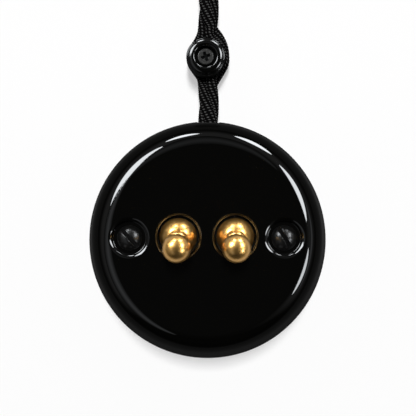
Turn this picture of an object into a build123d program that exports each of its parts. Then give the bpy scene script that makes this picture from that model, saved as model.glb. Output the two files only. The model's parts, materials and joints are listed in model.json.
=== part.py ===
"""Surface switch for a roller shutter: a round glazed porcelain cover on the wall, with two brass
toggle levers side by side, one for up and one for down, and a twisted textile cable from above.

Bench coordinates, in millimetres: x to the right, y up the wall, z out of the wall, with the
origin on the wall at the centre of the cover. The finished pieces are turned so that the wall is
the plane Y = 0, the face looks along -Y and +Z is up.
"""

import os
from math import cos, radians, sin, sqrt, tan

from build123d import *

# Cover, a porcelain dome
foot_diameter = 100.0
shoulder_diameter = 88.0  # across the sharp corner that the shoulder rounds off
cover_height = 37.0
shoulder_radius = 10.0
cover_wall = 5.0
face_thickness = 5.0
foot_round = 1.2

# Cover screws, sunk in two wells
screw_spacing = 60.0
well_radius = 7.15
well_depth = 4.0
well_lip = 0.85
well_wall = 2.75
well_floor = 5.0
screw_radius = 2.0
screw_reach = 9.0
screw_head_radius = 4.95
screw_head_height = 3.2
screw_head_side = 0.4  # the straight rim under the head's dome
screw_slot_width = 1.5
screw_slot_depth = 1.5
screw_slot_turns = (-48.0, -60.0)  # left and right, as they were tightened
post_radius = 4.0

# Toggle levers
lever_spacing = 22.0
lever_rise = 0.5  # the levers sit this far above the cover's centre
pivot_depth = 2.0  # from the cover's face down to the pivot
lever_throw = 28.0  # degrees, half of it each side of square to the wall
hole_radius = 7.9
hole_lip = 1.8
dome_radius = 7.3
dome_wall = 1.4
collar_radius = 4.15
collar_top = 12.3
collar_chamfer = 0.55
collar_roof = 0.3  # brass left over the end of the stem's bore
neck_radius = 2.6
ball_radius = 5.4
ball_height = 19.5
core_radius = 2.15
eye_radius = 3.0
eye_width = 5.8
tail_radius = 2.4
tail_length = 13.0
spring_seat = 4.5  # from the pivot down to the end of the spring's bore
spring_bore = 1.5
spring_length = 5.4
spring_wire = 0.44
spring_turns = 5
plunger_radius = 1.42
plunger_reach = 16.5  # from the pivot down to the tip

# Pivot pins and the yokes that hold them
pin_radius = 1.0
pin_proud = 0.15  # past each ear
yoke_height = 13.0  # from the housing's top up to the pivot
yoke_sheet = 1.2
ear_thickness = 1.0
ear_half_width = 2.2
ear_root_half_width = 4.0
ear_play = 0.2  # between the lever's eye and each ear
yoke_inset = 0.2  # the sheet stops this far inside the housing's sides
yoke_slot_half_length = 7.0

# Rocker, a see-saw contact that the plunger tips over
rocker_tilt = 9.0  # degrees each side of level
rocker_axis_drop = 18.2  # from the lever's pivot down to the rocker's
rocker_width = 7.0
rocker_half_length = 9.6
cradle_radius = 6.4
cradle_half_width = 4.2
cradle_floor = 1.53  # above the rocker's own pivot
arm_top = 2.9
arm_bottom = 1.9
boss_half_width = 2.2
fulcrum_radius = 0.5
button_radius = 1.5
button_height = 0.8
button_reach = 8.2
contact_gap = 0.12

# Housings, one for each toggle
housing_half_length = 17.0
housing_floor = 2.0
housing_side = 2.2
housing_end = 5.0
ledge = 7.0  # the floor runs on this far past each end, under a terminal
corner_screw_inset = 2.7  # from the housing's side in to a corner screw

# Terminals
strip_width = 5.0
strip_thickness = 1.4
post_thickness = 1.7
block_length = 6.0
block_width = 7.0
block_height = 8.5
side_block_start = 5.0  # the common terminal's block starts this far from the toggle's centre line
wire_height = 3.0  # from the housing's floor up to a wire's axis
wire_hole = 1.0
copper_radius = 0.75
terminal_screw_radius = 1.5
terminal_head_radius = 2.6
terminal_head_height = 1.8

# Base plate
base_thickness = 5.0
base_round = 0.8
wall_hole_circle = 72.0
wall_hole_radius = 2.25
wall_head_radius = 4.2
wall_head_depth = 1.5
base_screw_radius = 1.5
base_screw_head = 2.9
base_screw_bite = 6.0
yoke_screw_radius = 1.25
yoke_screw_bite = 7.0
yoke_screw_head = 2.3
yoke_screw_head_height = 1.4
slot_turns = {"saddle": 30.0, "yoke": -20.0, "terminal": 65.0}  # degrees

# Cable of three twisted cores, and the saddle that grips it
core_diameter = 4.0
core_gap = 0.04
core_slack = 0.4  # between a core and the knob's neck
core_bends = (14.0, 6.0, 6.0, 14.0)  # radii where a core leaves the twist, rounds the neck and joins it
core_part = (10.3, 1.9)  # below the knob's middle: where a core leaves the twist, and reaches the neck
core_join = (2.6, 12.6)  # above it: where it leaves the neck, and is back in the twist
cable_x = 0.5
cable_height = 10.0  # from the wall to the cable's axis
notch_clearance = 0.3
saddle_inset = 7.9  # from the base plate's edge in to the saddle's screws
saddle_width = 5.5
saddle_thickness = 2.5
saddle_screw_offset = 9.0
saddle_boss_radius = 3.0
saddle_end = 2.6  # the saddle runs on this far past each screw
saddle_head_radius = 2.55
lead_diameter = 2.6
lead_room = 0.8  # spare width in the channel that two leads share
lead_stub = 2.5  # a lead leaves the saddle straight for this far
lead_bends = {
    "live": (3.2, 8.0, 8.0),
    "up": (4.0, 4.0, 5.0, 9.0, 3.5),
    "down": (6.0, 6.0, 9.0, 3.5),
    "link": (4.0, 4.0, 6.0, 8.0, 4.0),
}
live_swing_x = 13.0  # the live lead swings out past this, on its way round the left housing
live_swing_rise = 6.0  # and passes this far above the upper terminals' screws there
live_drop = 1.0  # below those screws it runs straight down
up_rise = 4.5  # the up lead crosses into the channel this far above the upper terminals' screws
up_shift = 0.4  # further left than in the channel
up_dive = 1.4  # and this much nearer the wall than in the saddle
up_settle = 2.0  # it is down in the channel this far below those screws
down_rise = 4.0  # the down lead is in the channel this far above them
channel_lift = 11.0  # both leads rise out of the channel this far above the lower terminals' screws
link_lift = 4.2  # the link wire crosses the leads this far above a wire hole
link_straight = 0.5  # it runs straight up to this far past the upper terminals' screws
link_corner = (2.5, 6.0, 2.0)  # then in, up and out by these
link_top = (10.0, 7.5)  # and in and up by these to the top of its bow
link_cross = (1.0, 4.5)  # past the down lead, and above the upper terminals' screws
link_tail = 3.4  # it meets its terminal straight for this far
link_diameter = 1.8
cable_end = 104.0
ferrule_length = 9.0
ferrule_radius = 1.5
ferrule_step = 0.1  # the crimped collar is this much smaller than the core

# Insulator knob on the wall above the switch
knob_x = -0.6
knob_y = 73.7
knob_radius = 7.9
knob_height = 22.0
knob_neck_radius = 3.8
knob_groove_low = 5.7
knob_groove_high = 14.3
knob_recess_radius = 5.2
knob_recess_depth = 3.0
knob_recess_draft = 0.7
knob_ridge = 0.8
knob_shoulder_radius = 6.75  # the ridge's foot
knob_shoulder_drop = 1.75
knob_edge = 2.5
knob_flange_slope = 1.2
knob_rounds = (1.2, 0.8, 1.0, 0.5, 0.4, 0.4)  # low flange, high flange, edge, shoulder, ridge's two sides
knob_screw_radius = 1.75
knob_screw_head = 3.3
knob_screw_head_height = 1.6
knob_screw_head_round = 0.5
knob_screw_point = 3.5
knob_screw_tip = 0.35
knob_screw_out = 16.0  # how far it stands out of the back, into the wall
cross_width = 0.95
cross_length = 3.9
cross_depth = 0.9
cross_turn = 20.0

# Clearances
fit_clearance = 0.03  # a screw in its thread, a pin in its hole
running_clearance = 0.05  # the lever on its pin
rocker_clearance = 0.06  # the rocker on its fulcrum
seat_gap = 0.1
piece_gap = 0.3  # between neighbours that don't touch
bend_share = 0.49  # a bend takes at most this share of the shorter run beside it
overcut = 1.0  # how far a cutter runs past a face
same = 0.01  # two sizes this near are the same size

# Places that follow from the sizes above
foot_radius = foot_diameter / 2
shoulder_corner = shoulder_diameter / 2
draft = (foot_radius - shoulder_corner) / cover_height
roof = cover_height - face_thickness
well_floor_z = cover_height - well_depth
post_top = well_floor_z - well_floor - seat_gap
base_radius = foot_radius - cover_wall - base_thickness * draft - piece_gap
saddle_y = base_radius - saddle_inset
pivot_z = cover_height - pivot_depth
housing_top = pivot_z - yoke_height
housing_base = base_thickness + housing_floor
rocker_z = pivot_z - rocker_axis_drop
lead_channel = 2 * lead_diameter + lead_room
housing_half_width = (lever_spacing - lead_channel) / 2
ear_gap = eye_width / 2 + ear_play  # half the room between the ears
half_throw = lever_throw / 2
wire_z = housing_base + wire_height
block_y = housing_half_length + piece_gap + block_length / 2
side_block_x = housing_half_width + piece_gap + block_length / 2
corner_screw = (housing_half_width - corner_screw_inset, housing_half_length - housing_end / 2)
core_circle = (core_diameter + core_gap) / sqrt(3)  # the cores' centres lie on this radius
saddle_z = cable_height + core_circle + core_diameter / 2 + seat_gap
cable_start = saddle_y - saddle_width / 2 - piece_gap
bore_end = collar_top - collar_roof
channel_x = (lead_diameter + piece_gap) / 2
channel_z = base_thickness + lead_diameter / 2 + piece_gap
lower_y = lever_rise - block_y
upper_y = lever_rise + block_y
face_x = lever_spacing / 2 - block_width / 2 - seat_gap  # a lead ends here, at an end block's side
side_x = lever_spacing / 2 + side_block_x
toggles = {"left": -lever_spacing / 2, "right": lever_spacing / 2}
screw_sides = (-screw_spacing / 2, screw_spacing / 2)
on_floor = (Align.CENTER, Align.CENTER, Align.MIN)


def lathe(outline):
    """The closed outline (radius, height) turned about the z axis, its seam at the bottom, off the holes."""
    return Rot(0, 0, -90) * Rot(90, 0, 0) * revolve(make_face(outline), Axis.Y)


def rod(radius, low, high, x=0.0, y=0.0):
    """A round bar along z."""
    return Pos(x, y, low) * Cylinder(radius, high - low, align=on_floor)


def cross_rod(radius, half_length, y, z):
    """A round bar along x, centred on x = 0."""
    return Pos(0, y, z) * Rot(0, 90, 0) * Cylinder(radius, 2 * half_length)


def bar(x0, x1, y0, y1, z0, z1):
    """A box between two corners."""
    middle = Pos((x0 + x1) / 2, (y0 + y1) / 2, (z0 + z1) / 2)
    return middle * Box(x1 - x0, y1 - y0, z1 - z0)


def group(pieces):
    """Like pieces that share one node, each its own solid."""
    return Compound([solid for piece in pieces for solid in piece.solids()])


def side_profile(outline, half_width):
    """The closed outline (y, z) drawn out along x, half_width each way."""
    return Plane.YZ * extrude(make_face(outline), half_width, both=True)


def dome_outline(foot, shoulder, height, corner_round, edge_round):
    """Half the section of the cover or of its hollow, with its shoulder and foot rounded."""
    face = make_face(Polyline((0, 0), (foot, 0), (shoulder, height), (0, height), close=True))
    face = fillet(face.vertices().sort_by_distance((shoulder, height))[0], corner_round)
    if edge_round:
        face = fillet(face.vertices().sort_by_distance((foot, 0))[0], edge_round)
    return face.edges()


def circles_at(solid, height, radius):
    """The round edges of that radius that lie at that height."""
    round_edges = solid.edges().filter_by(GeomType.CIRCLE)
    level = round_edges.filter_by_position(Axis.Z, height - same, height + same)
    return level.filter_by(lambda edge: abs(edge.radius - radius) < same)


def make_cover():
    shell = lathe(dome_outline(foot_radius, shoulder_corner, cover_height, shoulder_radius, foot_round))
    inner_foot, inner_corner = foot_radius - cover_wall, shoulder_corner - cover_wall
    shell -= lathe(dome_outline(inner_foot, inner_corner, roof, shoulder_radius - cover_wall, 0))
    for x in screw_sides:
        shell += rod(well_radius + well_wall, well_floor_z - well_floor, roof + overcut, x)
    for x in screw_sides:
        shell -= rod(well_radius, well_floor_z, cover_height + overcut, x)
        shell -= rod(screw_radius + piece_gap, well_floor_z - well_floor - overcut, cover_height, x)
    for x in toggles.values():
        low = well_floor_z - well_floor - overcut
        shell -= rod(hole_radius, low, cover_height + overcut, x, lever_rise)
    shell = fillet(circles_at(shell, cover_height, well_radius), well_lip)
    shell = fillet(circles_at(shell, cover_height, hole_radius), hole_lip)
    return shell - cable_notch()


def cable_notch():
    """The round-topped notch in the rim, open towards the wall, that the cable comes through."""
    half_width = core_circle + core_diameter / 2 + notch_clearance
    inside = foot_radius - 2 * cover_wall
    outside = foot_radius + overcut
    notch = bar(cable_x - half_width, cable_x + half_width, inside, outside, -overcut, cable_height)
    arch = Pos(cable_x, inside, cable_height) * Rot(-90, 0, 0)
    return notch + arch * Cylinder(half_width, outside - inside, align=on_floor)


def make_cover_screws():
    """Slotted dome-headed screws."""
    rim = (screw_head_radius, screw_head_side)
    crown = screw_head_height - screw_head_side
    dome = (screw_head_radius**2 + crown**2) / (2 * crown)
    screws = []
    for x, turn in zip(screw_sides, screw_slot_turns):
        head = lathe(
            [
                Polyline((0, screw_head_height), (0, 0), (screw_head_radius, 0), rim),
                RadiusArc(rim, (0, screw_head_height), -dome),
            ]
        )
        slot = Box(2 * screw_head_radius + overcut, screw_slot_width, 2 * screw_slot_depth)
        head -= Pos(0, 0, screw_head_height) * Rot(0, 0, turn) * slot
        shank = rod(screw_radius, post_top - screw_reach, well_floor_z, x)
        screws.append(Pos(x, 0, well_floor_z) * head + shank)
    return group(screws)


def make_cover_posts():
    """Brass posts on the base plate that take the cover screws."""
    posts = []
    for x in screw_sides:
        post = rod(post_radius, base_thickness, post_top, x)
        post -= rod(screw_radius + fit_clearance, post_top - screw_reach - overcut, post_top + overcut, x)
        screw_end = base_thickness + base_screw_bite + overcut / 2
        post -= rod(base_screw_radius + fit_clearance, base_thickness - overcut, screw_end, x)
        posts.append(post)
    return group(posts)


def base_screw_places():
    """Under each cover post, and under two opposite corners of each housing."""
    places = [(x, 0) for x in screw_sides]
    for x in toggles.values():
        places += [
            (x + side * corner_screw[0], lever_rise + side * corner_screw[1]) for side in (-1, 1)
        ]
    return places


def make_base_screws():
    """Countersunk screws from behind the base plate."""
    head = base_screw_head - base_screw_radius
    screw = lathe(
        Polyline(
            (0, piece_gap),
            (base_screw_head, piece_gap),
            (base_screw_radius, piece_gap + head),
            (base_screw_radius, base_thickness + base_screw_bite),
            (0, base_thickness + base_screw_bite),
            close=True,
        )
    )
    return group(Pos(x, y, 0) * screw for x, y in base_screw_places())


def make_base_plate():
    plate = fillet(rod(base_radius, 0, base_thickness).edges().sort_by(Axis.Z)[-1], base_round)
    boss_sides = [cable_x + side * saddle_screw_offset for side in (-1, 1)]
    for x in boss_sides:
        plate += rod(saddle_boss_radius, base_thickness / 2, saddle_z, x, saddle_y)
    ridge_top = cable_height - core_circle - core_diameter / 2 - seat_gap
    low, high = saddle_y - saddle_width / 2, saddle_y + saddle_width / 2
    plate += bar(*boss_sides, low, high, base_thickness / 2, ridge_top)
    thread_end = saddle_z - base_screw_bite - overcut
    for x in boss_sides:
        plate -= rod(base_screw_radius + fit_clearance, thread_end, saddle_z + overcut, x, saddle_y)
    countersink = base_screw_head + piece_gap - base_screw_radius
    for x, y in base_screw_places():
        plate -= rod(base_screw_radius + piece_gap / 2, -overcut, base_thickness + overcut, x, y)
        wide, narrow = base_screw_head + piece_gap + seat_gap, base_screw_radius + seat_gap
        plate -= Pos(x, y, 0) * Cone(wide, narrow, countersink, align=on_floor)
    along = wall_hole_circle / 2 * sin(radians(45))
    for side in (-1, 1):
        plate -= rod(wall_hole_radius, -overcut, base_thickness + overcut, side * along, side * along)
        low = base_thickness - wall_head_depth
        plate -= rod(wall_head_radius, low, base_thickness + overcut, side * along, side * along)
    return plate


def make_cable_saddle():
    half = saddle_screw_offset + saddle_end
    saddle = bar(
        cable_x - half,
        cable_x + half,
        saddle_y - saddle_width / 2,
        saddle_y + saddle_width / 2,
        saddle_z,
        saddle_z + saddle_thickness,
    )
    saddle = fillet(saddle.edges().filter_by(Axis.Z), saddle_width / 4)
    top = saddle_z + saddle_thickness + overcut
    for side in (-1, 1):
        x = cable_x + side * saddle_screw_offset
        saddle -= rod(base_screw_radius + piece_gap / 2, saddle_z - overcut, top, x, saddle_y)
    return saddle


def pan_screw(radius, head_radius, head_height, bite, slot_turn):
    """A slotted screw standing on z = 0 under its head."""
    head = fillet(rod(head_radius, 0, head_height).edges().sort_by(Axis.Z)[-1], head_height / 3)
    slot = Box(2 * head_radius + overcut, head_radius / 3, head_height)
    head -= Pos(0, 0, head_height) * Rot(0, 0, slot_turn) * slot
    return head + rod(radius, -bite, 0)


def make_saddle_screws():
    bite = saddle_thickness + base_screw_bite
    turn = slot_turns["saddle"]
    screw = pan_screw(base_screw_radius, saddle_head_radius, terminal_head_height, bite, turn)
    top = saddle_z + saddle_thickness
    return group(Pos(cable_x + side * saddle_screw_offset, saddle_y, top) * screw for side in (-1, 1))


def make_housing():
    """A moulded box, open on top, with gaps in its ends and sides for the terminals."""
    half_width, half_length = housing_half_width, housing_half_length
    body = bar(-half_width, half_width, -half_length, half_length, base_thickness, housing_top)
    out = half_length + ledge
    body += bar(-half_width, half_width, -out, out, base_thickness, housing_base)
    room = half_width - housing_side
    inner_length = half_length - housing_end
    top = housing_top + overcut
    body -= bar(-room, room, -inner_length, inner_length, housing_base, top)
    gap = strip_width / 2 + piece_gap / 2
    body -= bar(-gap, gap, -half_length - overcut, half_length + overcut, housing_base, top)
    body -= bar(-half_width - overcut, half_width + overcut, -gap, gap, housing_base, top)
    for side in (-1, 1):
        x, y = side * corner_screw[0], side * corner_screw[1]
        low = housing_top - yoke_screw_bite - overcut / 2
        body -= rod(yoke_screw_radius + fit_clearance, low, top, x, y)
        high = base_thickness + base_screw_bite + overcut / 2
        body -= rod(base_screw_radius + fit_clearance, base_thickness - overcut, high, x, y)
    return body


def make_yoke():
    """A stamped sheet across the housing, with two ears bent up out of its slot for the pivot pin."""
    half_width = housing_half_width - yoke_inset
    top = housing_top + yoke_sheet
    low, high = housing_top - overcut, top + overcut
    sheet = bar(-half_width, half_width, -housing_half_length, housing_half_length, housing_top, top)
    sheet -= bar(-ear_gap, ear_gap, -yoke_slot_half_length, yoke_slot_half_length, low, high)
    for side in (-1, 1):
        x, y = side * corner_screw[0], side * corner_screw[1]
        sheet -= rod(yoke_screw_radius + piece_gap / 2, low, high, x, y)
    left, right = (-ear_half_width, pivot_z), (ear_half_width, pivot_z)
    left_root, right_root = (-ear_root_half_width, housing_top), (ear_root_half_width, housing_top)
    outline = [
        Polyline(left, left_root, right_root, right),
        RadiusArc(right, left, -ear_half_width),
    ]
    ear = side_profile(outline, ear_thickness / 2)
    for side in (-1, 1):
        sheet += Pos(side * (ear_gap + ear_thickness / 2), 0, 0) * ear
    return sheet - cross_rod(pin_radius + fit_clearance, half_width, 0, pivot_z)


def make_yoke_screws():
    bite = yoke_sheet + yoke_screw_bite
    turn = slot_turns["yoke"]
    screw = pan_screw(yoke_screw_radius, yoke_screw_head, yoke_screw_head_height, bite, turn)
    top = housing_top + yoke_sheet
    return group(
        Pos(x + side * corner_screw[0], lever_rise + side * corner_screw[1], top) * screw
        for x in toggles.values()
        for side in (-1, 1)
    )


def make_pivot_pin():
    return cross_rod(pin_radius, ear_gap + ear_thickness + pin_proud, 0, pivot_z)


def make_handle():
    """The turned brass lever about its pivot: ball, neck, collar and a hollow dome over the pivot."""
    hollow = dome_radius - dome_wall
    bore = core_radius + fit_clearance / 2
    under_ball = ball_height - sqrt(ball_radius**2 - neck_radius**2)
    dome_start = sqrt(dome_radius**2 - collar_radius**2)
    hollow_end = sqrt(hollow**2 - bore**2)
    return lathe(
        [
            Polyline((0, bore_end), (0, ball_height + ball_radius)),
            RadiusArc((0, ball_height + ball_radius), (ball_radius, ball_height), ball_radius),
            RadiusArc((ball_radius, ball_height), (neck_radius, under_ball), ball_radius),
            Polyline(
                (neck_radius, under_ball),
                (neck_radius, collar_top),
                (collar_radius - collar_chamfer, collar_top),
                (collar_radius, collar_top - collar_chamfer),
                (collar_radius, dome_start),
            ),
            RadiusArc((collar_radius, dome_start), (dome_radius, 0), dome_radius),
            Polyline((dome_radius, 0), (hollow, 0)),
            RadiusArc((hollow, 0), (bore, hollow_end), -hollow),
            Polyline((bore, hollow_end), (bore, bore_end), (0, bore_end)),
        ]
    )


def make_lever_core():
    """The steel stem pressed into the handle, with the eye for the pin and the sprung tail."""
    core = rod(core_radius, 0, bore_end - running_clearance)
    core += cross_rod(eye_radius, eye_width / 2, 0, 0)
    core += rod(tail_radius, -tail_length, 0)
    core -= cross_rod(pin_radius + running_clearance, eye_width, 0, 0)
    return core - rod(spring_bore, -tail_length - overcut, -spring_seat)


def make_plunger():
    top = -spring_seat - spring_length
    tip = -plunger_reach + plunger_radius
    return lathe(
        [
            Polyline((0, -plunger_reach), (0, top), (plunger_radius, top), (plunger_radius, tip)),
            RadiusArc((plunger_radius, tip), (0, -plunger_reach), plunger_radius),
        ]
    )


def make_spring():
    """A coil of round wire between the end of the bore and the plunger."""
    coil_radius = spring_bore - spring_wire / 2 - seat_gap
    height = spring_length - spring_wire - 2 * fit_clearance
    path = Helix(height / spring_turns, height, coil_radius)
    section = Plane(path @ 0, z_dir=path % 0) * Circle(spring_wire / 2)
    coil = sweep(section, path, is_frenet=True)
    return Pos(0, 0, -spring_seat - spring_length + spring_wire / 2 + fit_clearance) * coil


def make_rocker():
    """A level see-saw about its own pivot, dished for the plunger's tip, with a contact on each arm."""
    rise = cradle_radius - sqrt(cradle_radius**2 - cradle_half_width**2)
    lip = cradle_floor + rise
    outline = [
        ThreePointArc((-cradle_half_width, lip), (0, cradle_floor), (cradle_half_width, lip)),
        Polyline(
            (cradle_half_width, lip),
            (rocker_half_length, arm_top),
            (rocker_half_length, arm_bottom),
            (boss_half_width + arm_bottom, arm_bottom),
            (boss_half_width, 0),
            (-boss_half_width, 0),
            (-boss_half_width - arm_bottom, arm_bottom),
            (-rocker_half_length, arm_bottom),
            (-rocker_half_length, arm_top),
            (-cradle_half_width, lip),
        ),
    ]
    rocker = side_profile(outline, rocker_width / 2)
    rocker -= cross_rod(fulcrum_radius + rocker_clearance, rocker_width, 0, 0)
    for side in (-1, 1):
        rocker += rod(button_radius, arm_bottom - button_height, arm_bottom, 0, side * button_reach)
    return rocker


def terminal_block(x, y, along_x):
    """A clamp block with a hole for the wire and a threaded one for the screw."""
    half_x, half_y = block_length / 2, block_width / 2
    if along_x:
        half_x, half_y = half_y, half_x
    top = housing_base + block_height
    block = bar(x - half_x, x + half_x, y - half_y, y + half_y, housing_base, top)
    block -= rod(terminal_screw_radius + fit_clearance, wire_z, top + overcut, x, y)
    turn = Rot(0, 90, 0) if along_x else Rot(90, 0, 0)
    return block - Pos(x, y, wire_z) * turn * Cylinder(wire_hole, 2 * block_width)


def make_end_terminal():
    """Strip on the housing's floor with a contact post inside and a clamp block outside, at +y."""
    tilt = radians(rocker_tilt)
    bottom = arm_bottom - button_height
    contact_y = button_reach * cos(tilt) + bottom * sin(tilt)
    contact_z = rocker_z - button_reach * sin(tilt) + bottom * cos(tilt) - contact_gap
    near, far = contact_y - post_thickness / 2, contact_y + post_thickness / 2
    slope = tan(tilt) * post_thickness / 2
    outline = Polyline(
        (near, housing_base),
        (block_y, housing_base),
        (block_y, housing_base + strip_thickness),
        (far, housing_base + strip_thickness),
        (far, contact_z - slope),
        (near, contact_z + slope),
        close=True,
    )
    strip = side_profile(outline, strip_width / 2)
    top = housing_base + block_height
    strip -= rod(terminal_screw_radius + fit_clearance, wire_z, top, 0, block_y)
    return strip + terminal_block(0, block_y, True)


def make_common_terminal():
    """Fulcrum for the rocker, with a strip out through the housing's side to a clamp block at -x."""
    outline = [
        Polyline(
            (-fulcrum_radius, rocker_z),
            (-fulcrum_radius, housing_base),
            (fulcrum_radius, housing_base),
            (fulcrum_radius, rocker_z),
        ),
        RadiusArc((fulcrum_radius, rocker_z), (-fulcrum_radius, rocker_z), -fulcrum_radius),
    ]
    terminal = side_profile(outline, strip_width / 2)
    outer = side_block_x + block_length / 2
    thick = housing_base + strip_thickness
    terminal += bar(-outer, strip_width / 2, -strip_width / 2, strip_width / 2, housing_base, thick)
    inner = side_block_x - block_length / 2
    block_middle = side_block_start + block_width / 2
    terminal += bar(-outer, -inner, -side_block_start, strip_width / 2, housing_base, thick)
    return terminal + terminal_block(-side_block_x, -block_middle, False)


def terminal_places():
    """The middles of the clamp blocks: both ends and one side of each toggle."""
    side_y = side_block_start + block_width / 2
    return [
        (x, y + lever_rise)
        for x in toggles.values()
        for y in (-block_y, block_y)
    ] + [
        (toggles["left"] - side_block_x, lever_rise - side_y),
        (toggles["right"] + side_block_x, lever_rise + side_y),
    ]


def make_terminal_screws():
    top = housing_base + block_height
    bite = top - wire_z - copper_radius - seat_gap
    turn = slot_turns["terminal"]
    screw = pan_screw(terminal_screw_radius, terminal_head_radius, terminal_head_height, bite, turn)
    return group(Pos(x, y, top) * screw for x, y in terminal_places())


def fitted_bends(points, radii):
    """The bend radius at each corner of a wire, less where the runs beside it are too short for it."""
    fitted = []
    for before, corner, after, radius in zip(points, points[1:], points[2:], radii):
        back, ahead = Vector(before) - Vector(corner), Vector(after) - Vector(corner)
        room = bend_share * min(back.length, ahead.length)
        fitted.append(min(radius, room * tan(radians(back.get_angle(ahead) / 2))))
    return fitted


def wire(points, radii, radius):
    """A round wire of straight runs joined by tangent arcs."""
    path = FilletPolyline(*points, radius=fitted_bends(points, radii))
    return sweep(Plane(path @ 0, z_dir=path % 0) * Circle(radius), path)


def lead(points, radii, radius=lead_diameter / 2):
    """An insulated lead whose last point is at a terminal block's face, with bare copper beyond it."""
    end, before = Vector(points[-1]), Vector(points[-2])
    way = (end - before).normalized()
    copper = Plane(end, z_dir=way) * Cylinder(copper_radius, block_length - overcut, align=on_floor)
    return wire(points, radii, radius) + copper


def core_places():
    """The cores' centres across the cable, (x, z): one on the left, two behind each other on the right."""
    return [
        (cable_x + core_circle * cos(radians(turn)), cable_height + core_circle * sin(radians(turn)))
        for turn in (180, 60, -60)
    ]


def make_live_lead():
    """From the left core round to the left toggle's common terminal."""
    (x, z), _, _ = core_places()
    end = lever_rise - side_block_start + seat_gap
    points = [
        (x, cable_start, z),
        (x, cable_start - lead_stub, z),
        (-live_swing_x, upper_y + live_swing_rise, wire_z),
        (-side_x, upper_y - live_drop, wire_z),
        (-side_x, end, wire_z),
    ]
    return lead(points, lead_bends["live"])


def make_up_lead():
    """From the front core down between the housings to the left toggle's lower terminal."""
    _, (x, z), _ = core_places()
    points = [
        (x, cable_start, z),
        (x, cable_start - lead_stub, z),
        (-channel_x - up_shift, upper_y + up_rise, z - up_dive),
        (-channel_x, upper_y - up_settle, channel_z),
        (-channel_x, lower_y + channel_lift, channel_z),
        (-channel_x, lower_y, wire_z),
        (-face_x, lower_y, wire_z),
    ]
    return lead(points, lead_bends["up"])


def make_down_lead():
    """From the back core down between the housings to the right toggle's lower terminal."""
    _, _, (x, z) = core_places()
    points = [
        (x, cable_start, z),
        (x, cable_start - lead_stub, z),
        (channel_x, upper_y + down_rise, channel_z),
        (channel_x, lower_y + channel_lift, channel_z),
        (channel_x, lower_y, wire_z),
        (face_x, lower_y, wire_z),
    ]
    return lead(points, lead_bends["down"])


def make_link_wire():
    """From the left toggle's upper terminal to the right one's common, so that only one lever is live."""
    end = lever_rise + side_block_start + block_width + seat_gap
    high = wire_z + link_lift
    corner_in, corner_up, corner_out = link_corner
    points = [
        (side_x, end, wire_z),
        (side_x, upper_y + link_straight, wire_z),
        (side_x - corner_in, upper_y + corner_up, wire_z + corner_out),
        (side_x - link_top[0], upper_y + link_top[1], high),
        (channel_x + link_cross[0], upper_y + link_cross[1], high),
        (-face_x + link_tail, upper_y, wire_z),
        (-face_x, upper_y, wire_z),
    ]
    way = (0, -1, 0)
    copper = Plane(points[0], z_dir=way) * Cylinder(copper_radius, block_width - overcut, align=on_floor)
    return lead(points, lead_bends["link"], link_diameter / 2) + copper


def make_cable_core(place, knob_side):
    """One core from the saddle up the wall, round the insulator's neck and on up to its ferrule."""
    x, z = place
    beside = knob_x + knob_side * (knob_neck_radius + core_diameter / 2 + core_slack)
    points = [
        (x, cable_start, z),
        (x, knob_y - core_part[0], z),
        (beside, knob_y - core_part[1], z),
        (beside, knob_y + core_join[0], z),
        (x, knob_y + core_join[1], z),
        (x, cable_end, z),
    ]
    return wire(points, core_bends, core_diameter / 2)


def make_core_ferrules():
    """Crimped brass ends, ready for the next junction box up the wall."""
    ferrules = []
    for x, z in core_places():
        collar = Cylinder(core_diameter / 2 - ferrule_step, ferrule_length / 3, align=on_floor)
        sleeve = Cylinder(ferrule_radius, ferrule_length, align=on_floor)
        ferrules.append(Pos(x, cable_end, z) * Rot(-90, 0, 0) * (collar + sleeve))
    return group(ferrules)


def make_insulator_knob():
    """A porcelain reel with a groove for the cable and a ridged head round its screw."""
    recess = knob_height - knob_recess_depth
    hole = knob_screw_radius + piece_gap
    low_flange = (knob_radius, knob_groove_low - knob_flange_slope)
    high_flange = (knob_radius, knob_groove_high + knob_flange_slope)
    edge = (knob_radius, knob_height - knob_edge)
    shoulder = (knob_shoulder_radius, knob_height - knob_shoulder_drop)
    ridge_outside = (knob_recess_radius + knob_ridge, knob_height)
    ridge_inside = (knob_recess_radius, knob_height)
    outline = make_face(
        Polyline(
            (hole, 0),
            (knob_radius, 0),
            low_flange,
            (knob_neck_radius, knob_groove_low),
            (knob_neck_radius, knob_groove_high),
            high_flange,
            edge,
            shoulder,
            ridge_outside,
            ridge_inside,
            (knob_recess_radius - knob_recess_draft, recess),
            (hole, recess),
            close=True,
        )
    )
    corners = (low_flange, high_flange, edge, shoulder, ridge_outside, ridge_inside)
    for corner, radius in zip(corners, knob_rounds):
        outline = fillet(outline.vertices().sort_by_distance(corner)[0], radius)
    return Pos(knob_x, knob_y, 0) * lathe(outline.edges())


def make_insulator_screw():
    """A cross-recessed screw through the knob and on into the wall."""
    seat = knob_height - knob_recess_depth
    head = rod(knob_screw_head, seat, seat + knob_screw_head_height)
    head = fillet(head.edges().sort_by(Axis.Z)[-1], knob_screw_head_round)
    arm = Box(cross_length, cross_width, 2 * cross_depth)
    recess = Pos(0, 0, seat + knob_screw_head_height) * Rot(0, 0, cross_turn)
    head -= recess * (arm + Rot(0, 0, 90) * arm)
    shank = rod(knob_screw_radius, -knob_screw_out, seat)
    shank = chamfer(shank.edges().sort_by(Axis.Z)[0], knob_screw_point, knob_screw_radius - knob_screw_tip)
    return Pos(knob_x, knob_y, 0) * (head + shank)


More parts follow.
